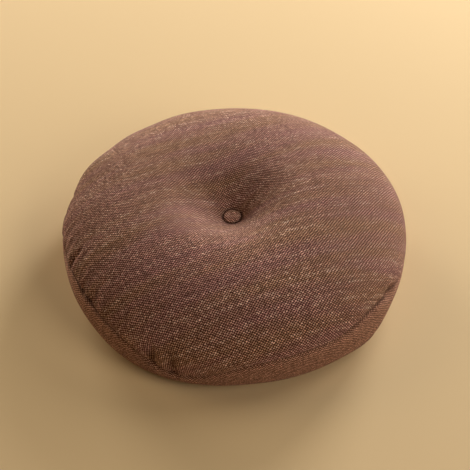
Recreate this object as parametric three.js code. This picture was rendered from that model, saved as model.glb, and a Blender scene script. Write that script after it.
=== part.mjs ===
// Round seat cushion with a tufted middle. Millimetres, +Z up, the front towards -Y.
// The origin lies on the surface that the cushion rests on, under the middle of its box.
// Angles are in degrees, counted from +X towards +Y.

import * as THREE from "three";

// Outer form of the filled cushion
const widestRadius = 215.5;
const widestHeight = 56;
const crownRadius = 92;
const crownHeight = 119;
const restRadius = 171;
const lowerEdgePower = 2.6;

// Tufted middle: a funnel that the tie pinches near its tip, cut off by a small round
// pocket for the button. The tuft and the crown round it lie off the axis of the side.
const tuftShift = new THREE.Vector2(-2.6, 5);
const funnelTipHeight = 78;
const pocketRadius = 11.8;
const pocketRimRadius = 13;
const pocketRimHeight = 84.5;
const pinchReach = 12;
const pocketHeight = 81;

// Shallow hollow that the tuft's tie draws into the underside
const tieHollowRadius = 42;
const tieHollowDepth = 6;

// Length of cloth past the rest radius over which the seams and puckers fade out, so that
// the cushion rests on a flat ring
const flatFade = 12;

// Side band between its two seams, and how a seam draws the cloth in
const bandWidth = 52;
const seamDepth = 2.4;
const seamReach = 6;

// Covered button, domed, a touching gap above the floor of its pocket
const touchingGap = 0.3;
const buttonRadius = 11.2;
const buttonThickness = 5;
const buttonEdge = 3;

// Height of the upper seam around the cushion. It sags where the filling slumps at the
// left of the front, and it rides up at the right of the front.
const upperSeam = [
  { angle: 15, height: 50 },
  { angle: 60, height: 56 },
  { angle: 105, height: 52 },
  { angle: 150, height: 55 },
  { angle: 176, height: 54 },
  { angle: 190, height: 60 },
  { angle: 199, height: 68 },
  { angle: 211, height: 69 },
  { angle: 222, height: 66 },
  { angle: 231, height: 60 },
  { angle: 240, height: 46 },
  { angle: 250, height: 32 },
  { angle: 257, height: 34 },
  { angle: 266, height: 48 },
  { angle: 274, height: 61 },
  { angle: 290, height: 67 },
  { angle: 304, height: 67 },
  { angle: 320, height: 72 },
  { angle: 331, height: 66 },
  { angle: 343, height: 54 },
];

// How far the shoulder and the lower edge stand out from a true circle
const unevenness = [
  { angle: 0, shoulder: 0, lower: 0 },
  { angle: 14, shoulder: 2.4, lower: 1 },
  { angle: 36, shoulder: 3.8, lower: 1 },
  { angle: 47, shoulder: 3, lower: 0 },
  { angle: 66, shoulder: 4.4, lower: 2 },
  { angle: 95, shoulder: 2.2, lower: 0 },
  { angle: 111, shoulder: 3, lower: 2 },
  { angle: 123, shoulder: 1, lower: -1 },
  { angle: 133, shoulder: 2.6, lower: 1 },
  { angle: 141, shoulder: 1.8, lower: -1 },
  { angle: 153, shoulder: 4.8, lower: 2 },
  { angle: 166, shoulder: 0, lower: -1 },
  { angle: 178, shoulder: 1.4, lower: 1 },
  { angle: 192, shoulder: -1.2, lower: 0 },
  { angle: 212, shoulder: -0.6, lower: 0 },
  { angle: 232, shoulder: 1.2, lower: 3 },
  { angle: 250, shoulder: 0.8, lower: 2.8 },
  { angle: 270, shoulder: 0.4, lower: -1 },
  { angle: 288, shoulder: 0.4, lower: -0.6 },
  { angle: 308, shoulder: 1, lower: 2 },
  { angle: 321, shoulder: 1, lower: 6 },
  { angle: 330, shoulder: 0, lower: 2 },
  { angle: 338, shoulder: -0.4, lower: -1.5 },
];

// Powers of the shoulder's and the funnel's curves. A low one falls away from the crown,
// or climbs from the button, at once.
const slopes = [
  { angle: 20, shoulder: 2.12, funnel: 0.85 },
  { angle: 45, shoulder: 2.12, funnel: 0.76 },
  { angle: 75, shoulder: 2.12, funnel: 0.72 },
  { angle: 100, shoulder: 2.12, funnel: 0.74 },
  { angle: 125, shoulder: 2.12, funnel: 0.8 },
  { angle: 150, shoulder: 2.12, funnel: 0.95 },
  { angle: 180, shoulder: 2.08, funnel: 1.05 },
  { angle: 220, shoulder: 1.9, funnel: 1.15 },
  { angle: 260, shoulder: 1.95, funnel: 1.1 },
  { angle: 300, shoulder: 2.05, funnel: 0.95 },
  { angle: 345, shoulder: 2.12, funnel: 0.85 },
];

// Puckers across the upper seam: how far round the cushion each leans on its way up, how
// far above the seam its deepest point lies, how far it runs above and below the seam,
// and how wide and deep its valley is
const puckers = [
  { angle: 28, lean: 1, peak: 6, above: 24, below: 10, width: 5, depth: 3 },
  { angle: 84, lean: -1, peak: 6, above: 28, below: 12, width: 5, depth: 3.5 },
  { angle: 122, lean: 1, peak: 5, above: 26, below: 8, width: 5.5, depth: 3 },
  { angle: 142, lean: -1, peak: 6, above: 30, below: 12, width: 6, depth: 3.5 },
  { angle: 166, lean: -1, peak: 6, above: 34, below: 10, width: 6, depth: 4 },
  { angle: 198, lean: -1, peak: 8, above: 30, below: 5, width: 5, depth: 9 },
  { angle: 210, lean: -2, peak: 3, above: 15, below: 5, width: 5, depth: 3.2 },
  { angle: 215, lean: 1, peak: 4, above: 20, below: 5, width: 5, depth: 3.8 },
  { angle: 243.3, lean: 0, peak: 12, above: 34, below: 6, width: 5.4, depth: 5.5 },
  { angle: 250.4, lean: -0.5, peak: 16, above: 42, below: 6, width: 5.4, depth: 5.5 },
  { angle: 256, lean: -2, peak: 0, above: 8, below: 18, width: 5, depth: 2 },
  { angle: 331, lean: 0, peak: 0, above: 9, below: 12, width: 9, depth: 4 },
];

// Fineness of the mesh: rings that cross the seams take every column of points, and the
// rings of the flat underside and of the funnel take every second one
const columnStep = 3;
const puckerColumnStep = 1.2;
const closestColumns = 0.9;
const curveSteps = 40;
const undersideRadii = [90, 135];
const restLength = restRadius - undersideRadii.at(-1);
const funnelRadii = [84, 66, 50, 36, 26, 19];
const bandRows = [0.3, 0.6];
const shoulderRows = [0.1, 0.2, 0.31, 0.43, 0.56, 0.7, 0.85];
const seamRows = [-6, -2, 0, 2, 6];
const buttonSegments = 40;
const buttonDomeSteps = 6;

const clothColour = 0x7b5849;

// A smooth periodic curve through one column of a table of angles
function around(rows, column, angle) {
  const count = rows.length;
  const turned = ((angle - rows[0].angle) % 360 + 360) % 360 + rows[0].angle;
  let index = count - 1;
  while (rows[index].angle > turned) index -= 1;
  const at = (step) => {
    const turns = Math.floor((index + step) / count);
    const row = rows[index + step - turns * count];
    return { angle: row.angle + 360 * turns, value: row[column] };
  };
  const [before, start, end, after] = [at(-1), at(0), at(1), at(2)];
  const span = end.angle - start.angle;
  const startSlope = (end.value - before.value) / (end.angle - before.angle);
  const endSlope = (after.value - start.value) / (after.angle - start.angle);
  const t = (turned - start.angle) / span;
  const blend = t * t * (3 - 2 * t);
  const startPull = t * (1 - t) * (1 - t) * span * startSlope;
  const endPull = t * t * (1 - t) * span * endSlope;
  return start.value + (end.value - start.value) * blend + startPull - endPull;
}

// Height of the funnel: a sine of a power of the radius, from its tip up to the crown,
// drawn down to one height at the pocket's rim
function funnelHeight(radius, angle) {
  const power = around(slopes, "funnel", angle);
  const sineHeight = (at) => {
    const rise = Math.sin(Math.PI / 2 * (at / crownRadius) ** power);
    return funnelTipHeight + (crownHeight - funnelTipHeight) * rise;
  };
  const pinch = Math.exp((pocketRimRadius - radius) / pinchReach);
  return sineHeight(radius) - (sineHeight(pocketRimRadius) - pocketRimHeight) * pinch;
}

// Height of the underside: flat, with a cosine hollow round the tie
function undersideHeight(radius) {
  const t = Math.min(radius / tieHollowRadius, 1);
  return tieHollowDepth / 2 * (1 + Math.cos(Math.PI * t));
}

// The side of the cushion at one angle, from the flat underside out to the widest line
// and over the shoulder to the crown: two quarters of superellipses, measured by length.
// A point holds its radius, its height and, as z, the part of the tuft's shift it takes.
class SideCurve {
  constructor(angle) {
    const shoulder = around(unevenness, "shoulder", angle);
    const lower = around(unevenness, "lower", angle);
    const widest = widestRadius + shoulder;
    const power = around(slopes, "shoulder", angle);
    this.points = [new THREE.Vector3(undersideRadii.at(-1), 0, 0)];
    for (let step = 0; step <= curveSteps; step += 1) {
      const turn = Math.PI / 2 * step / curveSteps;
      const out = Math.sin(turn) ** (2 / lowerEdgePower);
      const down = Math.cos(turn) ** (2 / lowerEdgePower);
      const push = lower * Math.sin(2 * turn) ** 2;
      const radius = restRadius + (widest - restRadius) * out + push;
      this.points.push(new THREE.Vector3(radius, widestHeight * (1 - down), 0));
    }
    for (let step = 1; step <= curveSteps; step += 1) {
      const turn = Math.PI / 2 * step / curveSteps;
      const out = Math.cos(turn) ** (2 / power);
      const up = Math.sin(turn) ** (2 / power);
      const radius = crownRadius + (widest - crownRadius) * out;
      const height = widestHeight + (crownHeight - widestHeight) * up;
      this.points.push(new THREE.Vector3(radius, height, 1 - out));
    }
    this.lengths = [0];
    for (let i = 1; i < this.points.length; i += 1) {
      const step = this.points[i].clone().sub(this.points[i - 1]);
      this.lengths.push(this.lengths[i - 1] + Math.hypot(step.x, step.y));
    }
    this.total = this.lengths.at(-1);
  }

  // Length along the curve at which it first reaches a height
  lengthAtHeight(height) {
    const i = this.points.findIndex((point) => point.y >= height);
    const [low, high] = [this.points[i - 1], this.points[i]];
    const t = (height - low.y) / (high.y - low.y);
    return this.lengths[i - 1] + t * (this.lengths[i] - this.lengths[i - 1]);
  }

  pointAt(length) {
    const wanted = THREE.MathUtils.clamp(length, 0, this.total);
    const i = Math.max(1, this.lengths.findIndex((reached) => reached >= wanted));
    const t = (wanted - this.lengths[i - 1]) / (this.lengths[i] - this.lengths[i - 1]);
    return this.points[i - 1].clone().lerp(this.points[i], t);
  }

  // The way into the filling, square to the curve
  inwardAt(length) {
    const along = this.pointAt(length + 2).sub(this.pointAt(length - 2));
    return new THREE.Vector3(-along.y, along.x, 0).normalize();
  }
}

// How deep the puckers press in at a distance above the upper seam, below it if negative.
// Each valley has a soft ridge on both sides.
function puckerDepth(angle, aboveSeam, radius) {
  let depth = 0;
  for (const pucker of puckers) {
    const offPeak = aboveSeam - pucker.peak;
    const reach = offPeak > 0 ? pucker.above - pucker.peak : pucker.below + pucker.peak;
    const fade = Math.max(0, 1 - Math.abs(offPeak) / reach);
    const centre = pucker.angle + pucker.lean * aboveSeam / pucker.above;
    const turned = ((angle - centre + 180) % 360 + 360) % 360 - 180;
    const across = THREE.MathUtils.degToRad(turned) * radius / pucker.width;
    depth += pucker.depth * Math.sqrt(fade) * (1 - across ** 2 / 3) * Math.exp(-(across ** 2) / 2);
  }
  return depth;
}

function seamGroove(distance) {
  return seamDepth * Math.exp(-Math.abs(distance) / seamReach);
}

// Points of the side at one angle, from the lower edge to the crown
function sidePoints(angle) {
  const curve = new SideCurve(angle);
  const upper = curve.lengthAtHeight(around(upperSeam, "height", angle));
  const lower = upper - bandWidth;
  const seamEdge = seamRows.at(-1);
  const between = (start, end, parts) => parts.map((part) => start + part * (end - start));
  const lengths = [
    restLength,
    ...seamRows.map((offset) => lower + offset),
    ...between(lower + seamEdge, upper - seamEdge, bandRows),
    ...seamRows.map((offset) => upper + offset),
    ...between(upper + seamEdge, curve.total, shoulderRows),
  ];
  const points = lengths.map((length) => {
    const point = curve.pointAt(length);
    const grooves = seamGroove(length - upper) + seamGroove(length - lower);
    const depth = grooves + puckerDepth(angle, length - upper, point.x);
    const free = THREE.MathUtils.clamp((length - restLength) / flatFade, 0, 1);
    return point.addScaledVector(curve.inwardAt(length), depth * free);
  });
  points.push(curve.pointAt(curve.total));
  return points;
}

// Angles of the columns: even steps, with three columns at each pucker in place of the
// even ones that would crowd them
function columnAngles() {
  const fine = puckers.flatMap((pucker) => [-1, 0, 1].map((side) =>
    pucker.angle + pucker.lean * pucker.peak / pucker.above + side * puckerColumnStep));
  const even = [];
  for (let angle = 0; angle < 360; angle += columnStep) {
    if (fine.every((taken) => Math.abs(taken - angle) > closestColumns)) even.push(angle);
  }
  const angles = [...fine, ...even].sort((a, b) => a - b);
  if (angles.length % 2 === 1) angles.push((angles.at(-1) + 360) / 2);
  return angles;
}

// Closed mesh of the cushion, from rings of points between a bottom and a top pole
function cushionGeometry() {
  const angles = columnAngles();
  const coarse = angles.filter((_, index) => index % 2 === 0);
  const positions = [];
  const triangles = [];
  const addPoint = (radius, height, lean, angle) => {
    const turn = THREE.MathUtils.degToRad(angle);
    const x = radius * Math.cos(turn) + lean * tuftShift.x;
    const y = radius * Math.sin(turn) + lean * tuftShift.y;
    positions.push(x, y, Math.max(height, 0));
    return positions.length / 3 - 1;
  };
  const roundRing = (radius, heightAt, lean) =>
    coarse.map((angle) => addPoint(radius, heightAt(radius, angle), lean, angle));

  const bottomPole = addPoint(0, undersideHeight(0), 0, 0);
  const hollowRadii = [1 / 3, 2 / 3, 1].map((part) => part * tieHollowRadius);
  const rings = [...hollowRadii, ...undersideRadii].map((radius) =>
    roundRing(radius, undersideHeight, 0));
  const columns = angles.map(sidePoints);
  for (let row = 0; row < columns[0].length; row += 1) {
    rings.push(columns.map((points, i) => addPoint(...points[row].toArray(), angles[i])));
  }
  for (const radius of [...funnelRadii, pocketRimRadius]) {
    rings.push(roundRing(radius, funnelHeight, 1));
  }
  rings.push(roundRing(pocketRadius, () => pocketHeight, 1));
  const topPole = addPoint(0, pocketHeight, 1, 0);

  // Bands between rings: even ones, and those where a ring has twice the other's points
  for (let i = 1; i < rings.length; i += 1) {
    const [below, above] = [rings[i - 1], rings[i]];
    const most = Math.max(below.length, above.length);
    const low = (k) => below[Math.floor(k * below.length / most) % below.length];
    const high = (k) => above[Math.floor(k * above.length / most) % above.length];
    for (let k = 0; k < most; k += 1) {
      if (low(k) !== low(k + 1)) triangles.push(low(k), low(k + 1), high(k + 1));
      if (high(k) !== high(k + 1)) triangles.push(low(k), high(k + 1), high(k));
    }
  }
  coarse.forEach((_, k) => {
    const next = (k + 1) % coarse.length;
    triangles.push(bottomPole, rings[0][next], rings[0][k]);
    triangles.push(rings.at(-1)[k], rings.at(-1)[next], topPole);
  });

  const geometry = new THREE.BufferGeometry();
  geometry.setAttribute("position", new THREE.Float32BufferAttribute(positions, 3));
  geometry.setIndex(triangles);
  geometry.computeVertexNormals();
  return geometry;
}

// Covered button: flat below, a rounded rim and a low dome, standing on its own origin
function buttonGeometry() {
  const profile = [
    new THREE.Vector2(0, 0),
    new THREE.Vector2(buttonRadius - buttonEdge / 2, 0),
    new THREE.Vector2(buttonRadius, buttonEdge / 2),
  ];
  for (let step = 0; step <= buttonDomeSteps; step += 1) {
    const turn = Math.PI / 2 * step / buttonDomeSteps;
    const height = buttonEdge + (buttonThickness - buttonEdge) * Math.sin(turn);
    const onAxis = step === buttonDomeSteps;
    profile.push(new THREE.Vector2(onAxis ? 0 : buttonRadius * Math.cos(turn), height));
  }
  return new THREE.LatheGeometry(profile, buttonSegments).rotateX(Math.PI / 2);
}

function clothMaterial() {
  return new THREE.MeshStandardMaterial({ color: clothColour, roughness: 0.95, metalness: 0 });
}

const cushion = new THREE.Mesh(cushionGeometry(), clothMaterial());
cushion.name = "cushion";

const tuftButton = new THREE.Mesh(buttonGeometry(), clothMaterial());
tuftButton.name = "tuft_button";
tuftButton.position.set(tuftShift.x, tuftShift.y, pocketHeight + touchingGap);

const roundSeatCushion = new THREE.Group();
roundSeatCushion.add(cushion, tuftButton);

// The uneven side puts the tuft's axis slightly off the middle of the box
const middle = new THREE.Box3().setFromObject(cushion).getCenter(new THREE.Vector3());
for (const piece of roundSeatCushion.children) {
  piece.position.x -= middle.x;
  piece.position.y -= middle.y;
}

export default roundSeatCushion;
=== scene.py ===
"""Round seat cushion with a tufted middle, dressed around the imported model.

Metres, +Z up, the front towards -Y. The cushion is one closed surface over an angle
round its axis and a length along its section, and its cloth is a woven material that
runs on each cut panel. Shape values are in millimetres, and angles in the tables are in
degrees from +X towards +Y.
"""

import math

import bpy
import numpy as np
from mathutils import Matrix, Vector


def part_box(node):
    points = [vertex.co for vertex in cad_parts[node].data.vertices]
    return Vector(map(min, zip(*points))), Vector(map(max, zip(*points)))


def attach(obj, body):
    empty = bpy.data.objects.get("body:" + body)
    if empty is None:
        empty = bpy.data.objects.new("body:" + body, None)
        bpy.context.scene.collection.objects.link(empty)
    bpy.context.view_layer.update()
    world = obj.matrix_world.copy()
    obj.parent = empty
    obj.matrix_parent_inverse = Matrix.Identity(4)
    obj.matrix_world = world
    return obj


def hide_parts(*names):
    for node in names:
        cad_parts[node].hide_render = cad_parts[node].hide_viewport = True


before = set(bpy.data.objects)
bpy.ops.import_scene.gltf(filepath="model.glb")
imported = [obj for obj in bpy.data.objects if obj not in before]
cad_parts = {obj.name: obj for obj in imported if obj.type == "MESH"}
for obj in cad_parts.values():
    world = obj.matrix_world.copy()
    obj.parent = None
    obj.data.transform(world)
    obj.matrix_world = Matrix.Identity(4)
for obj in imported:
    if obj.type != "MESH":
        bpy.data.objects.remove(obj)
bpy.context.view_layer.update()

MM = 0.001

# Outer form of the filled cushion
WIDEST_RADIUS = 215.5
WIDEST_HEIGHT = 56.0
CROWN_RADIUS = 92.0
CROWN_HEIGHT = 119.0
REST_RADIUS = 171.0
LOWER_EDGE_POWER = 2.6
UNDERSIDE_EDGE = 135.0

# Tufted middle and the hollow that its tie draws into the underside
TUFT_SHIFT = (-2.6, 5.0)
FUNNEL_TIP_HEIGHT = 78.0
POCKET_RADIUS = 11.8
POCKET_RIM_RADIUS = 13.0
POCKET_RIM_HEIGHT = 84.5
PINCH_REACH = 12.0
POCKET_HEIGHT = 81.0
TIE_HOLLOW_RADIUS = 42.0
TIE_HOLLOW_DEPTH = 6.0

# Painted shade in the cloth round the button: where it ends outside the rim, and its width
POCKET_SHADE_REACH = 2.0
POCKET_SHADE_WIDTH = 3.0

# Side band and its seams, whose pull fades out before the crown and the flat underside
BAND_WIDTH = 52.0
CROWN_FADE = 20.0
FLAT_FADE = 12.0
SEAM_DEPTH = 2.2
SEAM_REACH = 6.0
SEAM_LINE_DEPTH = 2.0
SEAM_LINE_REACH = 1.4
# Painted shade along the seams: its reach from each seam; the lower seam's sharpness, which sets
# both its line and its painted shade; and the pucker depth at which the painted shade in a pucker
# is full
SEAM_SHADE_REACH = 1.5
LOWER_SEAM_SHARP = 0.5
PUCKER_SHADE_DEPTH = 14.0

# Square of the distance across a pucker, in its widths, at which its valley turns into
# a soft ridge
PUCKER_RIDGE = 3.0

# Fine gathers that fan up from the upper seam, raised by bump with painted shade and painted
# light: angle and strength
GATHERS = np.array([
    (0, 0.15), (60, 0.3), (110, 0.4), (150, 0.7), (172, 1.0), (214, 1.0), (228, 0.5), (240, 0.15),
    (320, 0.1),
])
GATHER_LEAN = 0.4
GATHER_REACH = 50.0
GATHER_PITCH = 9.0
GATHER_LENGTH = 60.0
GATHER_DEPTH = 3.0

# Covered button
BUTTON_RADIUS = 11.2
BUTTON_THICKNESS = 5.0
BUTTON_EDGE = 3.0
# Width of the painted shade round the button's rim
BUTTON_SHADE_WIDTH = 0.8
TOUCHING_GAP = 0.3

# Angle and height of the upper seam, and how sharp its line is, which also sets the painted shade
# along it
UPPER_SEAM = np.array([
    (15, 50, 1), (60, 56, 0.7), (105, 52, 0.7), (150, 55, 0.7), (176, 54, 0.8), (190, 60, 1),
    (199, 68, 1), (211, 69, 1), (222, 66, 0.5), (231, 60, 0.35), (240, 46, 0.3), (250, 32, 0.3),
    (257, 34, 0.3), (266, 48, 0.3), (274, 61, 0.25), (290, 67, 0.25), (304, 67, 0.35),
    (320, 72, 0.8), (331, 66, 1.3), (343, 54, 1.2),
], float)

# Angle, and how far the shoulder and the lower edge stand out from a true circle
UNEVENNESS = np.array([
    (0, 0, 0), (14, 2.4, 1), (36, 3.8, 1), (47, 3, 0), (66, 4.4, 2), (95, 2.2, 0),
    (111, 3, 2), (123, 1, -1), (133, 2.6, 1), (141, 1.8, -1), (153, 4.8, 2), (166, 0, -1),
    (178, 1.4, 1), (192, -1.2, 0), (212, -0.6, 0), (232, 1.2, 3), (250, 0.8, 2.8), (270, 0.4, -1),
    (288, 0.4, -0.6), (308, 1, 2), (321, 1, 6), (330, 0, 2), (338, -0.4, -1.5),
], float)

# Angle, and the powers of the shoulder's and the funnel's curves: a low one falls away
# from the crown or rises from the button at once
SLOPES = np.array([
    (20, 2.12, 0.85), (45, 2.12, 0.76), (75, 2.12, 0.72), (100, 2.12, 0.74), (125, 2.12, 0.8),
    (150, 2.12, 0.95), (180, 2.08, 1.05), (220, 1.9, 1.15), (260, 1.95, 1.1), (300, 2.05, 0.95),
    (345, 2.12, 0.85),
], float)

# Puckers across the upper seam: angle, lean, height of the deepest point, reach above
# and below the seam, width and depth
PUCKERS = [
    dict(angle=28, lean=1, peak=6, above=24, below=10, width=5, depth=3),
    dict(angle=84, lean=-1, peak=6, above=28, below=12, width=5, depth=3.5),
    dict(angle=122, lean=1, peak=5, above=26, below=8, width=5.5, depth=3),
    dict(angle=142, lean=-1, peak=6, above=30, below=12, width=6, depth=3.5),
    dict(angle=166, lean=-1, peak=6, above=34, below=10, width=5, depth=3),
    dict(angle=174, lean=-1, peak=6, above=26, below=10, width=4, depth=2),
    dict(angle=183, lean=-1, peak=6, above=26, below=10, width=4, depth=2.2),
    dict(angle=190, lean=-1, peak=6, above=22, below=6, width=4, depth=1.6),
    dict(angle=198, lean=-1, peak=8, above=32, below=5, width=2.8, depth=6),
    dict(angle=210, lean=-2, peak=3, above=15, below=5, width=3.4, depth=3.2),
    dict(angle=215, lean=1, peak=4, above=20, below=5, width=3.4, depth=3.8),
    dict(angle=243.3, lean=0, peak=12, above=34, below=6, width=5.4, depth=5.5),
    dict(angle=250.4, lean=-0.5, peak=16, above=42, below=6, width=5.4, depth=5.5),
    dict(angle=256, lean=-2, peak=0, above=8, below=18, width=4, depth=2),
    dict(angle=331, lean=0, peak=0, above=9, below=12, width=9, depth=4),
]

# Fineness of the shown surface
COLUMNS = 480
TIE_ROWS = 8
UNDERSIDE_ROWS = 10
LOWER_EDGE_ROWS = 20
BAND_ROWS = 30
SHOULDER_ROWS = 62
FUNNEL_ROWS = 36
POCKET_ROWS = 8
CURVE_STEPS = 160
CROWDING = 1.6
BUTTON_COLUMNS = 96
BUTTON_BASE_ROWS = 5
BUTTON_RIM_ROWS = 7
BUTTON_DOME_ROWS = 20

# Rings on the flat floors of the pocket and the button, as parts of their radii
POCKET_FLOOR_RINGS = (0.75, 0.4)
BUTTON_FIRST_RING = 0.2

# A slope small enough to change no place, which keeps flat heights in order, and a
# distance longer than any section, which keeps the columns apart in one joined list
TINY_SLOPE = 1e-6
COLUMN_SPACING = 10000.0

# Direction of the weft on the top panel, and how much narrower a flat round panel is
# than the domed cloth that it becomes
WEFT_TURN = math.radians(20)
BUTTON_WEFT_TURN = math.radians(-15)
PANEL_EASE = 0.88

# Place on the cloth of each round panel's middle, and of the band's lower edge at angle 0
TOP_PANEL = (0, 0)
BOTTOM_PANEL = (900, 0)
BAND_PANEL = (0, 700)
BUTTON_PANEL = (300, 300)

# Camera, in metres and in pixels of the photo
CAMERA_ELEVATION = math.radians(46.5)
CAMERA_DISTANCE = 1.777
CAMERA_TARGET_HEIGHT = 0.045
IMAGE_SIZE = 470
SENSOR_WIDTH = 36.0
FOCAL_PIXELS = 1409.0
PIXELS_PER_METRE = 793.0
TARGET_PIXEL = (234.4, 241.0)


def around(table, column, angle):
    """Smooth periodic curve: cubic pieces through a table's rows, with their mean slopes."""
    place = np.concatenate([table[-2:, 0] - 360, table[:, 0], table[:2, 0] + 360])
    value = np.concatenate([table[-2:, column], table[:, column], table[:2, column]])
    turned = (angle - table[0, 0]) % 360 + table[0, 0]
    index = np.searchsorted(place[2:-2], turned, side="right") + 1
    span = place[index + 1] - place[index]
    start_slope = (value[index + 1] - value[index - 1]) / (place[index + 1] - place[index - 1])
    end_slope = (value[index + 2] - value[index]) / (place[index + 2] - place[index])
    t = (turned - place[index]) / span
    blend = t * t * (3 - 2 * t)
    pull = t * (1 - t) * ((1 - t) * start_slope - t * end_slope) * span
    return value[index] + (value[index + 1] - value[index]) * blend + pull


def section_curves(angle):
    """Radius, height, lean and length along the side, one row a column of the cushion.

    The curve runs flat out to the rest radius, up a quarter of a superellipse to the
    widest line and over a second one to the crown. The lean is the part of the tuft's
    shift that a point takes: none up to the widest line and all of it at the crown.
    """
    turn = np.linspace(0, np.pi / 2, CURVE_STEPS)[None, :]
    shoulder = around(UNEVENNESS, 1, angle)[:, None]
    lower = around(UNEVENNESS, 2, angle)[:, None]
    widest = WIDEST_RADIUS + shoulder
    out = np.sin(turn) ** (2 / LOWER_EDGE_POWER)
    down = np.cos(turn) ** (2 / LOWER_EDGE_POWER)
    low_radius = REST_RADIUS + (widest - REST_RADIUS) * out + lower * np.sin(2 * turn) ** 2
    low_height = np.broadcast_to(WIDEST_HEIGHT * (1 - down), low_radius.shape)
    power = around(SLOPES, 1, angle)[:, None]
    inward = np.cos(turn) ** (2 / power)
    up = np.sin(turn) ** (2 / power)
    high_radius = CROWN_RADIUS + (widest - CROWN_RADIUS) * inward
    high_height = WIDEST_HEIGHT + (CROWN_HEIGHT - WIDEST_HEIGHT) * up
    first = np.full((len(angle), 1), UNDERSIDE_EDGE)
    radius = np.hstack([first, low_radius, high_radius[:, 1:]])
    height = np.hstack([0 * first, low_height, high_height[:, 1:]])
    lean = np.hstack([0 * first, 0 * low_radius, (1 - inward + 0 * high_radius)[:, 1:]])
    steps = np.hypot(np.diff(radius, axis=1), np.diff(height, axis=1))
    length = np.hstack([0 * first, np.cumsum(steps, axis=1)])
    return radius, height, lean, length


def by_column(wanted, known, values):
    """Linear interpolation of each row of values at each row of wanted places."""
    shift = COLUMN_SPACING * np.arange(len(known))[:, None]
    flat = np.interp((wanted + shift).ravel(), (known + shift).ravel(), values.ravel())
    return flat.reshape(wanted.shape)


def crowd(count, at_start, at_end):
    """Steps from 0 up to, not including, 1, closer together at the ends asked for."""
    t = np.arange(count) / count
    if at_start and at_end:
        return (1 - np.cos(np.pi * t)) / 2
    if at_start:
        return t ** CROWDING
    return 1 - (1 - t) ** CROWDING if at_end else t


def turned_from(angle, centre):
    """Angle from the centre, between -180 and 180 degrees."""
    return (angle - centre + 180) % 360 - 180


def pucker_depth(angle, above_seam, radius):
    """Valley of each pucker: a bell with a soft ridge on both sides.

    It is deepest at its peak, a height above the seam, and fades out above and below it.
    """
    depth = np.zeros(np.broadcast(angle, above_seam).shape)
    for pucker in PUCKERS:
        peak = pucker["peak"]
        off = above_seam - peak
        reach = np.where(off > 0, pucker["above"] - peak, pucker["below"] + peak)
        fade = np.sqrt(np.clip(1 - np.abs(off) / reach, 0, 1))
        centre = pucker["angle"] + pucker["lean"] * above_seam / pucker["above"]
        across = np.radians(turned_from(angle, centre)) * radius / pucker["width"]
        valley = np.exp(-across ** 2 / 2) * (1 - across ** 2 / PUCKER_RIDGE)
        depth += pucker["depth"] * fade * valley
    return depth


def seam_depth(distance, sharp):
    """Two exponentials of the distance from a seam: the pull of the filling and the line."""
    pull = SEAM_DEPTH * np.exp(-np.abs(distance) / SEAM_REACH)
    return pull + sharp * SEAM_LINE_DEPTH * np.exp(-np.abs(distance) / SEAM_LINE_REACH)


def funnel_height(radius, angle):
    """A sine of a power of the radius, drawn down to one height at the pocket's rim."""
    power = around(SLOPES, 2, angle)[:, None]
    deep = CROWN_HEIGHT - FUNNEL_TIP_HEIGHT
    rim = POCKET_RIM_RADIUS / CROWN_RADIUS
    cone = FUNNEL_TIP_HEIGHT + deep * np.sin(np.pi / 2 * (radius / CROWN_RADIUS) ** power)
    at_rim = FUNNEL_TIP_HEIGHT + deep * np.sin(np.pi / 2 * rim ** power)
    pinch = np.exp((POCKET_RIM_RADIUS - radius) / PINCH_REACH)
    return cone - (at_rim - POCKET_RIM_HEIGHT) * pinch


def underside_height(radius):
    """Flat, with a cosine hollow round the tie."""
    t = np.clip(radius / TIE_HOLLOW_RADIUS, 0, 1)
    return TIE_HOLLOW_DEPTH / 2 * (1 + np.cos(np.pi * t))


def side_surface(angle):
    """Radius, height, lean, painted shade and gathers from the flat underside up to the crown.

    The arrays are columns by rows, and a row lies on each seam. The gathers are given by
    the place across and along their lines, and by their strength.
    """
    radius, height, lean, length = section_curves(angle)
    seam_height = around(UPPER_SEAM, 1, angle)[:, None]
    sharp = around(UPPER_SEAM, 2, angle)[:, None]
    upper = by_column(seam_height, height + TINY_SLOPE * length, length)
    lower = upper - BAND_WIDTH
    total = length[:, -1:]
    spans = [
        (0 * upper, lower, LOWER_EDGE_ROWS, False, True),
        (lower, upper, BAND_ROWS, True, True),
        (upper, total, SHOULDER_ROWS, True, False),
    ]
    wanted = np.hstack([start + (end - start) * crowd(count, first, last)[None, :]
                        for start, end, count, first, last in spans] + [total])
    radius = by_column(wanted, length, radius)
    height = by_column(wanted, length, height)
    lean = by_column(wanted, length, lean)

    above = wanted - upper
    pucker = pucker_depth(angle[:, None], above, radius)
    # Painted shade along both seams and in the puckers' valleys
    crease = sharp * np.exp(-(above / SEAM_SHADE_REACH) ** 2)
    crease += LOWER_SEAM_SHARP * np.exp(-((wanted - lower) / SEAM_SHADE_REACH) ** 2)
    crease += np.clip(pucker / PUCKER_SHADE_DEPTH, 0, 1)

    arc = np.radians(angle)[:, None] * WIDEST_RADIUS
    strength = around(GATHERS, 1, angle)[:, None] * (1 - above / GATHER_REACH)
    strength = np.where(above > 0, np.clip(strength, 0, 1), 0)
    gather = np.stack([(arc + GATHER_LEAN * above) / GATHER_PITCH, above / GATHER_LENGTH,
                       strength], axis=-1)

    depth = seam_depth(above, sharp) + seam_depth(wanted - lower, LOWER_SEAM_SHARP) + pucker
    depth *= np.clip((total - wanted) / CROWN_FADE, 0, 1)
    depth *= np.clip((wanted - (REST_RADIUS - UNDERSIDE_EDGE)) / FLAT_FADE, 0, 1)
    along = np.stack([np.gradient(radius, axis=1), np.gradient(height, axis=1)])
    along /= np.hypot(along[0], along[1])
    radius = radius - along[1] * depth
    height = height + along[0] * depth
    return radius, height, lean, crease, gather


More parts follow.
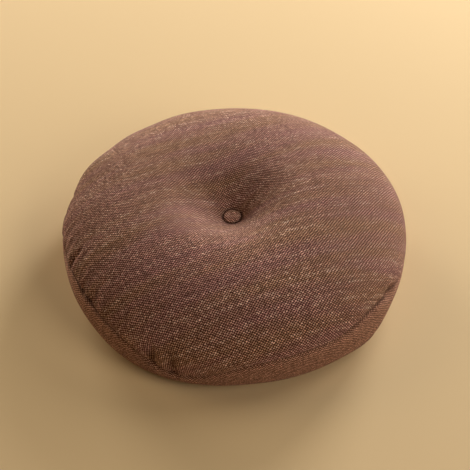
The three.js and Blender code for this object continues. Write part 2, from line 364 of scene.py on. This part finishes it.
def middle_surface(angle):
    """Radius, heights and painted shade of each row from the crown down into the pocket."""
    funnel = np.linspace(CROWN_RADIUS, POCKET_RIM_RADIUS, FUNNEL_ROWS)[1:]
    bend = np.linspace(0, np.pi / 2, POCKET_ROWS)[1:]
    wall = POCKET_RIM_RADIUS + (POCKET_RADIUS - POCKET_RIM_RADIUS) * np.sin(bend)
    rim_height = funnel_height(POCKET_RIM_RADIUS, angle)
    wall_height = POCKET_HEIGHT + (rim_height - POCKET_HEIGHT) * np.cos(bend)
    inner = np.array(POCKET_FLOOR_RINGS) * POCKET_RADIUS
    inner_height = np.full((len(angle), len(inner)), POCKET_HEIGHT)
    radius = np.concatenate([funnel, wall, inner])
    height = np.hstack([funnel_height(funnel, angle), wall_height, inner_height])
    # Painted shade in the cloth just outside the pocket's rim
    outside = POCKET_RIM_RADIUS + POCKET_SHADE_REACH - radius
    return radius, height, np.clip(outside / POCKET_SHADE_WIDTH, 0, 1)


def cushion_surface(angle):
    """Radius, height, lean, painted shade and gathers on rows by columns, and the row
    where the side starts.

    Rows run from the underside's middle out, up the side and over into the funnel.
    """
    tie = TIE_HOLLOW_RADIUS * np.arange(1, TIE_ROWS + 1) / TIE_ROWS
    flat = np.linspace(TIE_HOLLOW_RADIUS, UNDERSIDE_EDGE, UNDERSIDE_ROWS + 1)[1:-1]
    under = np.concatenate([tie, flat])
    side_radius, side_height, side_lean, side_crease, side_gather = side_surface(angle)
    middle, middle_height, pocket_painted_shade = middle_surface(angle)
    spread = np.ones((len(angle), 1))
    radius = np.hstack([spread * under, side_radius, spread * middle])
    height = np.hstack([spread * underside_height(under), side_height, middle_height])
    lean = np.hstack([spread * 0 * under, side_lean, spread * (1 + 0 * middle)])
    # Painted shade: none on the underside, along the seams and puckers on the side, and round the
    # pocket
    crease = np.hstack([spread * 0 * under, side_crease, spread * pocket_painted_shade])
    gather = np.zeros((*crease.shape, 3))
    gather[:, len(under):len(under) + side_crease.shape[1]] = side_gather
    height = np.maximum(height, 0)
    crease = np.clip(crease, 0, 1)
    return radius.T, height.T, lean.T, crease.T, gather.transpose(1, 0, 2), len(under)


def add_grid(name, rows, top_pole, bottom_pole, cloth):
    """A closed surface from rings of points and two poles, with its cloth coordinates.

    rows is rings by columns by xyz. cloth gives the panel coordinates at both rings of
    each band of faces, as band by 2 by columns by uv, and the poles' rows come first
    and last in it.
    """
    rings, columns = rows.shape[:2]
    points = np.vstack([[bottom_pole], rows.reshape(-1, 3), [top_pole]])
    here = np.arange(columns)
    after = (here + 1) % columns
    start = 1 + columns * np.arange(rings - 1)[:, None]
    quads = np.stack([start + here, start + after, start + columns + after,
                      start + columns + here], axis=-1).reshape(-1, 4)
    last = 1 + columns * (rings - 1)
    bottom = np.stack([0 * here, 1 + after, 1 + here], axis=-1)
    top = np.stack([last + here, last + after, 0 * here + len(points) - 1], axis=-1)
    corners = np.concatenate([quads.ravel(), bottom.ravel(), top.ravel()])
    sizes = np.concatenate([np.full(len(quads), 4), np.full(2 * columns, 3)])
    mesh = bpy.data.meshes.new(name)
    mesh.vertices.add(len(points))
    mesh.loops.add(len(corners))
    mesh.polygons.add(len(sizes))
    mesh.vertices.foreach_set("co", points.ravel())
    mesh.loops.foreach_set("vertex_index", corners.astype(np.int32))
    starts = np.concatenate([[0], np.cumsum(sizes)[:-1]])
    mesh.polygons.foreach_set("loop_start", starts.astype(np.int32))
    mesh.polygons.foreach_set("use_smooth", np.ones(len(sizes), bool))
    mesh.update(calc_edges=True)

    low, high = cloth[:, 0], cloth[:, 1]
    quad_uv = np.stack([low[1:-1][:, here], low[1:-1][:, after], high[1:-1][:, after],
                        high[1:-1][:, here]], axis=2).reshape(-1, 2)
    bottom_uv = np.stack([low[0][here], high[0][after], high[0][here]], axis=1).reshape(-1, 2)
    top_uv = np.stack([low[-1][here], low[-1][after], high[-1][here]], axis=1).reshape(-1, 2)
    uv = mesh.uv_layers.new(name="cloth")
    uv.data.foreach_set("uv", np.vstack([quad_uv, bottom_uv, top_uv]).ravel())
    mesh.validate()
    piece = bpy.data.objects.new(name, mesh)
    bpy.context.scene.collection.objects.link(piece)
    return piece


def add_crease(piece, values):
    """Stores how far each point lies in a fold, as painted shade on the cloth."""
    attribute = piece.data.attributes.new("crease", "FLOAT", "POINT")
    attribute.data.foreach_set("value", values.astype(np.float32))


def add_gather(piece, values):
    """Stores the gathers' place across and along their lines, and their strength."""
    attribute = piece.data.attributes.new("gather", "FLOAT_VECTOR", "POINT")
    attribute.data.foreach_set("vector", values.astype(np.float32).ravel())


def disc_cloth(length, angle, turn, centre):
    """Flat round panel: the point at a length from its middle and an angle round it."""
    way = np.radians(angle) - turn
    u = length * np.cos(way) + centre[0]
    v = length * np.sin(way) + centre[1]
    return np.stack(np.broadcast_arrays(u, v), axis=-1) * MM


def band_cloth(above, angle, start):
    """Straight strip: the point at an arc round the cushion and a height across it."""
    u = np.radians(angle) * WIDEST_RADIUS + start[0]
    v = above + start[1]
    return np.stack(np.broadcast_arrays(u, v), axis=-1) * MM


def ring_points(radius, height, lean, angle, axis):
    """Points on rings round the axis, moved by their part of the tuft's shift."""
    way = np.radians(angle)[None, :]
    x = (radius * np.cos(way) + lean * TUFT_SHIFT[0]) * MM + axis[0]
    y = (radius * np.sin(way) + lean * TUFT_SHIFT[1]) * MM + axis[1]
    return np.stack([x, y, height * MM], axis=-1)


def cloth_from_pole(radius, height):
    """Length of cloth from the pole inside the last ring to each ring."""
    steps = np.hypot(np.diff(radius, axis=0), np.diff(height, axis=0))
    down = np.cumsum(steps[::-1], axis=0)[::-1]
    return radius[-1:] + np.vstack([down, 0 * down[:1]])


def make_cushion(axis):
    """The cover, with a round panel above, another below and a straight band between."""
    angle = np.arange(COLUMNS) * 360 / COLUMNS
    radius, height, lean, crease, gather, side_start = cushion_surface(angle)
    rows = ring_points(radius, height, lean, angle, axis)
    top_pole = (axis[0] + TUFT_SHIFT[0] * MM, axis[1] + TUFT_SHIFT[1] * MM, POCKET_HEIGHT * MM)
    bottom_pole = (axis[0], axis[1], TIE_HOLLOW_DEPTH * MM)

    from_top = cloth_from_pole(radius, height)
    from_bottom = cloth_from_pole(radius[::-1], height[::-1])[::-1]
    lower_ring = side_start + LOWER_EDGE_ROWS
    upper_ring = lower_ring + BAND_ROWS
    above_seam = from_bottom - from_bottom[lower_ring]
    around_axis = angle[None, :]
    bottom_uv = disc_cloth(PANEL_EASE * from_bottom, -around_axis, WEFT_TURN, BOTTOM_PANEL)
    band_uv = band_cloth(above_seam, around_axis, BAND_PANEL)
    top_uv = disc_cloth(PANEL_EASE * from_top, around_axis, WEFT_TURN, TOP_PANEL)
    bottom_centre = disc_cloth(0, around_axis, WEFT_TURN, BOTTOM_PANEL)[:1]
    top_centre = disc_cloth(0, around_axis, WEFT_TURN, TOP_PANEL)[:1]
    low = np.concatenate([bottom_centre, bottom_uv[:lower_ring],
                          band_uv[lower_ring:upper_ring], top_uv[upper_ring:]])
    high = np.concatenate([bottom_uv[:lower_ring + 1], band_uv[lower_ring + 1:upper_ring + 1],
                           top_uv[upper_ring + 1:], top_centre])
    piece = add_grid("cushion_cover", rows, top_pole, bottom_pole, np.stack([low, high], axis=1))
    # Painted shade in the seams, the puckers and round the pocket, for the cloth to read
    add_crease(piece, np.concatenate([[0.0], crease.ravel(), [0.0]]))
    none = np.zeros((1, 3))
    add_gather(piece, np.vstack([none, gather.reshape(-1, 3), none]))
    return piece


def make_button(axis):
    """A dome with a rounded rim: an ellipse above the edge and a small arc below it."""
    angle = np.arange(BUTTON_COLUMNS) * 360 / BUTTON_COLUMNS
    turn = np.linspace(0, np.pi / 2, BUTTON_DOME_ROWS)[:-1]
    rim = np.linspace(0, np.pi / 2, BUTTON_RIM_ROWS)[:-1]
    base = np.linspace(BUTTON_FIRST_RING, 1, BUTTON_BASE_ROWS)[:-1]
    base = base * (BUTTON_RADIUS - BUTTON_EDGE / 2)
    radius = np.concatenate([base, BUTTON_RADIUS - BUTTON_EDGE / 2 * (1 - np.sin(rim)),
                             BUTTON_RADIUS * np.cos(turn)])
    height = np.concatenate([0 * base, BUTTON_EDGE * (1 - np.cos(rim)),
                             BUTTON_EDGE + (BUTTON_THICKNESS - BUTTON_EDGE) * np.sin(turn)])
    floor = POCKET_HEIGHT + TOUCHING_GAP
    spread = np.ones((1, BUTTON_COLUMNS))
    radius = radius[:, None] * spread
    height = height[:, None] * spread + floor
    rows = ring_points(radius, height, 0 * radius, angle, axis)
    top = (axis[0], axis[1], (floor + BUTTON_THICKNESS) * MM)
    bottom = (axis[0], axis[1], floor * MM)
    from_top = cloth_from_pole(radius, height)
    uv = disc_cloth(from_top, angle[None, :], BUTTON_WEFT_TURN, BUTTON_PANEL)
    centre = disc_cloth(0, angle[None, :], BUTTON_WEFT_TURN, BUTTON_PANEL)[:1]
    cloth = np.stack([np.concatenate([centre, uv]), np.concatenate([uv, centre])], axis=1)
    piece = add_grid("button_cover", rows, top, bottom, cloth)
    # Painted shade round the button's rim, full at the pole beneath it
    rim_shade = np.clip((radius - BUTTON_RADIUS) / BUTTON_SHADE_WIDTH + 1, 0, 1)
    add_crease(piece, np.concatenate([[1.0], rim_shade.ravel(), [0.0]]))
    return piece


class Number:
    """An output socket of a material's nodes. Sums and products of it add Math nodes."""

    def __init__(self, sheet, socket):
        self.sheet = sheet
        self.socket = socket

    def math(self, operation, *others):
        return self.sheet.node("ShaderNodeMath", {"operation": operation},
                               dict(enumerate([self, *others])))

    def swapped(self, operation, other):
        return self.sheet.node("ShaderNodeMath", {"operation": operation}, {0: other, 1: self})

    def __add__(self, other):
        return self.math("ADD", other)

    def __sub__(self, other):
        return self.math("SUBTRACT", other)

    def __rsub__(self, other):
        return self.swapped("SUBTRACT", other)

    def __mul__(self, other):
        return self.math("MULTIPLY", other)

    def __truediv__(self, other):
        return self.math("DIVIDE", other)

    def __mod__(self, other):
        return self.math("FLOORED_MODULO", other)

    __radd__ = __add__
    __rmul__ = __mul__

    def floor(self):
        return self.math("FLOOR")

    def sine(self):
        return self.math("SINE")

    def absolute(self):
        return self.math("ABSOLUTE")

    def wave(self):
        """One rounded ridge for each whole number."""
        return (self * math.pi).sine().absolute()

    def between(self, low, high):
        """0 below low, 1 above high and a smooth step between them."""
        return self.sheet.node("ShaderNodeMapRange", {"interpolation_type": "SMOOTHSTEP"},
                               {"Value": self, "From Min": low, "From Max": high})


class Sheet:
    """A material and the nodes on it."""

    def __init__(self, name):
        self.material = bpy.data.materials.new(name)
        self.material.use_nodes = True
        self.tree = self.material.node_tree
        self.tree.nodes.clear()

    def node(self, kind, settings=None, inputs=None, output=0):
        made = self.tree.nodes.new(kind)
        for key, value in (settings or {}).items():
            setattr(made, key, value)
        for key, value in (inputs or {}).items():
            if isinstance(value, Number):
                self.tree.links.new(value.socket, made.inputs[key])
            else:
                made.inputs[key].default_value = value
        return Number(self, made.outputs[output])

    def mix(self, factor, first, second, blend="MIX"):
        """Mixes colours: the Mix node has them at inputs 6 and 7, and at output 2."""
        settings = {"data_type": "RGBA", "blend_type": blend}
        return self.node("ShaderNodeMix", settings, {0: factor, 6: first, 7: second}, 2)

    def point(self, x, y, z=0.0):
        return self.node("ShaderNodeCombineXYZ", None, {0: x, 1: y, 2: z})

    def noise(self, place, scale=1.0, detail=2.0):
        return self.node("ShaderNodeTexNoise", {"noise_dimensions": "3D"},
                         {"Vector": place, "Scale": scale, "Detail": detail})

    def attribute(self, name, output):
        """A point attribute of the mesh, as a number at output 2 or a vector at output 1."""
        return self.node("ShaderNodeAttribute", {"attribute_name": name}, None, output)

    def bump(self, height, depth, strength, below=None):
        """Raises the surface's shading by a height from 0 to 1 times a depth in metres."""
        inputs = {"Height": height, "Distance": depth, "Strength": strength}
        if below is not None:
            inputs["Normal"] = below
        return self.node("ShaderNodeBump", None, inputs)

    def parts(self, vector):
        split = self.tree.nodes.new("ShaderNodeSeparateXYZ")
        self.tree.links.new(vector.socket, split.inputs[0])
        return [Number(self, output) for output in split.outputs]

    def chance(self, value, seed):
        """A number from 0 to 1 that is the same wherever the value and the seed are."""
        return self.node("ShaderNodeTexWhiteNoise", {"noise_dimensions": "2D"},
                         {"Vector": self.point(value, seed)})

    def finish(self, shader):
        output = self.tree.nodes.new("ShaderNodeOutputMaterial")
        self.tree.links.new(shader.socket, output.inputs["Surface"])
        return self.material


def colour(red, green, blue):
    """Linear colour from the values 0 to 255 that a screen shows."""
    parts = np.array([red, green, blue]) / 255
    linear = np.where(parts < 0.04045, parts / 12.92, ((parts + 0.055) / 1.055) ** 2.4)
    return (*linear.tolist(), 1.0)


# Yarns of the cloth
WEFT_PITCH = 1.55 * MM
WARP_PITCH = 1.9 * MM
YARN_WANDER = 2.4 * MM
WEFT_MAUVE = colour(207, 153, 140)
WEFT_OLIVE = colour(206, 158, 125)
# The band's yarns are paler and warmer, as painted bounce light from the floor
WEFT_BAND_BOUNCE_LIGHT = colour(214, 163, 136)
WARP_MAUVE = colour(88, 47, 43)
WARP_OLIVE = colour(88, 52, 36)
WARP_BAND_BOUNCE_LIGHT = colour(104, 65, 50)
SLUB = colour(240, 205, 180)
# Painted shade in the gaps between the yarns
PAINTED_GAP_SHADE = colour(48, 16, 10)

# Surface of the yarns
CLOTH_ROUGHNESS = 0.95
CLOTH_SPECULAR = 0.1
SHEEN_WEIGHT = 0.06
SHEEN_ROUGHNESS = 0.5
SHEEN_TINT = colour(255, 226, 204)

# How often the noises of the cloth change, in cycles a metre. The streaks have one value
# along the weft and one across it.
WEFT_WANDER_CYCLES = 180.0
WARP_WANDER_CYCLES = 260.0
SLUB_CYCLES = 95.0
PALE_YARN_CYCLES = 16.0
STREAK_CYCLES = (6.0, 40.0)

# Steps through a noise from one weft yarn to the next, which leave them unlike
SLUB_STEP = 3.71
PALE_YARN_STEP = 5.13

# Seeds that set one pattern apart from another
WANDER_SEED = 4.0
STREAK_SEED = 3.0
WEFT_SEED = 1.7
WARP_SEED = 5.3

# Where a noise or a chance turns from nothing to the whole effect
SLUBS = (0.46, 0.6)
SLUBBED_YARNS = (0.5, 0.85)
PALE_YARNS = (0.56, 0.66)
PALE_CELLS = (0.15, 0.6)
OLIVE = (0.28, 0.72)
GATHER_FOLDS = (0.35, 0.65)
# Relief below which the yarns take the painted shade of the gaps
GAP_SHADE_RANGE = (0.0, 0.6)

# Place across the weft, in metres, where the round panels end and the band's cloth starts, with
# its painted bounce light
BAND_CLOTH = (0.5, 0.6)

# Strength of each effect on the colour
PALE_YARN_STRENGTH = 0.7
SLUB_STRENGTH = 0.55
# Painted bounce light: how far the band's cloth turns olive
BAND_OLIVE_BOUNCE_LIGHT = 0.15
PLAIN_SHADE = 0.5
CELL_SHADE = 0.6
WEFT_SHADE = 0.2
WARP_SHADE = 0.1
# Painted shade in the creases, painted shade under the gathers and painted light on their folds
CREASE_SHADE = 0.55
GATHER_SHADE = 0.3
FOLD_LIGHT = 0.5

# The button's cloth is painted paler, as painted light on a face that the low lamps barely reach
BUTTON_PAINTED_LIGHT = 1.35

# Relief of the weave, as parts of its depth: a yarn's middle, the rise to the middle of
# its cell, and a slub
WEFT_RELIEF = (0.45, 0.4, 0.3)
WARP_RELIEF = (0.35, 0.3)
WEAVE_DEPTH = 0.4 * MM
WEAVE_STRENGTH = 0.6


def woven_cloth(name, painted_light=1.0):
    """Plain weave of dark warp and pale slubbed weft, on cloth coordinates in metres.

    Which yarn lies on top alternates with the sum of their numbers, so the cloth is a
    field of small cells. Each cell has its own shade, each weft yarn thickens and pales
    into slubs along its length, some stay pale for longer, and slow streaks turn the dye
    from mauve to olive. The band's cloth is painted paler and warmer, as painted bounce
    light from the floor, and painted shade darkens the gaps between the yarns. A point
    attribute paints shade where the cloth tucks in, the gather attribute raises fine
    folds and paints shade over them and light on their ridges, and the last argument
    scales the whole shade, as painted light.
    """
    sheet = Sheet(name)
    cloth = sheet.node("ShaderNodeUVMap", {"uv_map": "cloth"})
    along, across, _ = sheet.parts(cloth)
    along = along + (sheet.noise(cloth, WARP_WANDER_CYCLES) - 0.5) * YARN_WANDER
    wander = sheet.noise(sheet.point(across, along, WANDER_SEED), WEFT_WANDER_CYCLES)
    across = across + (wander - 0.5) * YARN_WANDER

    # Numbers of the yarns that cross at a point, and which of them is on top
    weft = across / WEFT_PITCH
    warp = along / WARP_PITCH
    weft_number = weft.floor()
    warp_number = warp.floor()
    weft_on_top = (weft_number + warp_number) % 2.0
    cell_chance = sheet.chance(warp_number, weft_number)
    weft_chance = sheet.chance(weft_number, WEFT_SEED)
    warp_chance = sheet.chance(warp_number, WARP_SEED)

    # Slubs and pale yarns, from 0 to their full effect
    slub_noise = sheet.noise(sheet.point(along * SLUB_CYCLES, weft_number * SLUB_STEP), 1.0, 1.5)
    pale_noise = sheet.noise(
        sheet.point(along * PALE_YARN_CYCLES, weft_number * PALE_YARN_STEP), 1.0, 1.0)
    slub = slub_noise.between(*SLUBS) * weft_chance.between(*SLUBBED_YARNS)
    slub = slub + pale_noise.between(*PALE_YARNS) * PALE_YARN_STRENGTH
    slub = slub * cell_chance.between(*PALE_CELLS)

    # Dye of the yarn on top, with painted bounce light from the floor on the band
    streak = sheet.noise(
        sheet.point(along * STREAK_CYCLES[0], across * STREAK_CYCLES[1], STREAK_SEED))
    band = across.between(*BAND_CLOTH)
    olive = (streak + band * BAND_OLIVE_BOUNCE_LIGHT).between(*OLIVE)
    weft_colour = sheet.mix(olive, WEFT_MAUVE, WEFT_OLIVE)
    weft_colour = sheet.mix(slub * SLUB_STRENGTH, weft_colour, SLUB)
    weft_colour = sheet.mix(band, weft_colour, WEFT_BAND_BOUNCE_LIGHT)
    warp_colour = sheet.mix(olive, WARP_MAUVE, WARP_OLIVE)
    warp_colour = sheet.mix(band, warp_colour, WARP_BAND_BOUNCE_LIGHT)
    yarn = sheet.mix(weft_on_top, warp_colour, weft_colour)

    # Shade of the yarns, with painted shade in the creases, painted shade and painted light on
    # the gathers, and the button's painted light
    crease = sheet.attribute("crease", 2)
    fold_across, fold_along, gathered = sheet.parts(sheet.attribute("gather", 1))
    fold = sheet.noise(sheet.point(fold_across, fold_along), 1.0, 1.0)
    folds = gathered * fold.between(*GATHER_FOLDS)
    shade = PLAIN_SHADE + cell_chance * CELL_SHADE
    shade = shade + weft_chance * WEFT_SHADE + warp_chance * WARP_SHADE
    shade = shade * (1.0 - crease * CREASE_SHADE)
    shade = shade * (1.0 - gathered * GATHER_SHADE + folds * FOLD_LIGHT) * painted_light
    yarn = sheet.mix(1.0, yarn, sheet.point(shade, shade, shade), "MULTIPLY")

    # Relief of the weave, over the folds of the gathers
    middle, rise, slub_rise = WEFT_RELIEF
    over = weft_on_top * weft.wave() * (middle + warp.wave() * rise + slub * slub_rise)
    middle, rise = WARP_RELIEF
    under = (1.0 - weft_on_top) * warp.wave() * (middle + weft.wave() * rise)
    height = over + under
    gather_bump = sheet.bump(folds, GATHER_DEPTH * MM, 1.0)
    bump = sheet.bump(height, WEAVE_DEPTH, WEAVE_STRENGTH, gather_bump)
    # Painted shade in the gaps between the yarns, where the weave's relief is low
    surface = sheet.node("ShaderNodeBsdfPrincipled", None, {
        "Base Color": sheet.mix(height.between(*GAP_SHADE_RANGE), PAINTED_GAP_SHADE, yarn),
        "Roughness": CLOTH_ROUGHNESS, "Specular IOR Level": CLOTH_SPECULAR, "Normal": bump,
        "Sheen Weight": SHEEN_WEIGHT, "Sheen Roughness": SHEEN_ROUGHNESS,
        "Sheen Tint": SHEEN_TINT})
    return sheet.finish(surface)


def plain_material(name, tint, roughness):
    sheet = Sheet(name)
    surface = sheet.node("ShaderNodeBsdfPrincipled", None,
                         {"Base Color": tint, "Roughness": roughness})
    return sheet.finish(surface)


FLOOR_HALF_WIDTH = 6.0
FLOOR_PAINT = colour(226, 196, 148)
FLOOR_ROUGHNESS = 0.9


def make_floor():
    """A flat square, wide enough to fill the view."""
    half = FLOOR_HALF_WIDTH
    corners = [(-half, -half, 0), (half, -half, 0), (half, half, 0), (-half, half, 0)]
    mesh = bpy.data.meshes.new("floor")
    mesh.from_pydata(corners, [], [(0, 1, 2, 3)])
    mesh.materials.append(plain_material("floor_paint", FLOOR_PAINT, FLOOR_ROUGHNESS))
    floor = bpy.data.objects.new("floor", mesh)
    bpy.context.scene.collection.objects.link(floor)


def place(thing, azimuth, elevation, distance, target):
    """Puts a light or camera on a sphere round a target and turns it to look there."""
    way = np.array([math.cos(elevation) * math.cos(azimuth),
                    math.cos(elevation) * math.sin(azimuth), math.sin(elevation)])
    thing.location = np.array(target) + distance * way
    thing.rotation_euler = (math.pi / 2 - elevation, 0, azimuth + math.pi / 2)


WORLD_TINT = colour(255, 244, 228)
WORLD_STRENGTH = 0.01
LIGHT_TARGET = (0, 0, 0.05)

# Area lights: azimuth and elevation in degrees, distance, size, watts and tint
LIGHTS = {
    "right_low": (60, 10, 2.6, 1.1, 24, (1.0, 1.0, 1.0)),
    "right_high": (60, 20, 2.6, 1.1, 44, (1.0, 1.0, 1.0)),
    "right": (40, 20, 2.6, 1.1, 10, (1.0, 1.0, 1.0)),
    "back_low": (120, 10, 2.6, 1.1, 48, (1.0, 0.95, 0.85)),
    "front_right": (20, 34, 2.8, 1.5, 20, (1.0, 0.96, 0.9)),
    "front": (-40, 34, 2.8, 1.5, 24, (1.0, 0.92, 0.82)),
    "left": (165, 35, 2.8, 1.8, 16, (1.0, 0.83, 0.62)),
    "front_left": (215, 22, 2.8, 1.8, 3, (1.0, 0.8, 0.55)),
}


def make_light(name, azimuth, elevation, distance, size, power, tint):
    data = bpy.data.lights.new(name, "AREA")
    data.shape = "DISK"
    data.size = size
    data.energy = power
    data.color = tint
    light = bpy.data.objects.new(name, data)
    bpy.context.scene.collection.objects.link(light)
    place(light, math.radians(azimuth), math.radians(elevation), distance, LIGHT_TARGET)


def make_camera(axis):
    """Looks along +Y from above, with the axis point at its pixel of the photo's frame."""
    data = bpy.data.cameras.new("camera")
    data.sensor_width = SENSOR_WIDTH
    data.lens = FOCAL_PIXELS / IMAGE_SIZE * SENSOR_WIDTH
    camera = bpy.data.objects.new("camera", data)
    bpy.context.scene.collection.objects.link(camera)
    right = (IMAGE_SIZE / 2 - TARGET_PIXEL[0]) / PIXELS_PER_METRE
    up = (TARGET_PIXEL[1] - IMAGE_SIZE / 2) / PIXELS_PER_METRE
    target = (axis[0] + right, axis[1] + up * math.sin(CAMERA_ELEVATION),
              CAMERA_TARGET_HEIGHT + up * math.cos(CAMERA_ELEVATION))
    place(camera, -math.pi / 2, CAMERA_ELEVATION, CAMERA_DISTANCE, target)
    bpy.context.scene.camera = camera


def make_world():
    """A faint even light, and colours shown as they are."""
    world = bpy.data.worlds.new("world")
    world.use_nodes = True
    background = world.node_tree.nodes["Background"]
    background.inputs["Color"].default_value = WORLD_TINT
    background.inputs["Strength"].default_value = WORLD_STRENGTH
    bpy.context.scene.world = world
    bpy.context.scene.view_settings.view_transform = "Standard"


button_low, button_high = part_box("tuft_button")
tuft = ((button_low[0] + button_high[0]) / 2, (button_low[1] + button_high[1]) / 2)
axis = (tuft[0] - TUFT_SHIFT[0] * MM, tuft[1] - TUFT_SHIFT[1] * MM)

cushion = make_cushion(axis)
cushion.data.materials.append(woven_cloth("slub_cloth"))
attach(cushion, "root")
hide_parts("cushion")

button = make_button(tuft)
# The button's copy of the cloth is painted paler, as painted light
button.data.materials.append(woven_cloth("button_slub_cloth_painted_light", BUTTON_PAINTED_LIGHT))
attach(button, "root")
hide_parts("tuft_button")

make_floor()
make_world()
for name, values in LIGHTS.items():
    make_light(name, *values)
make_camera(axis)
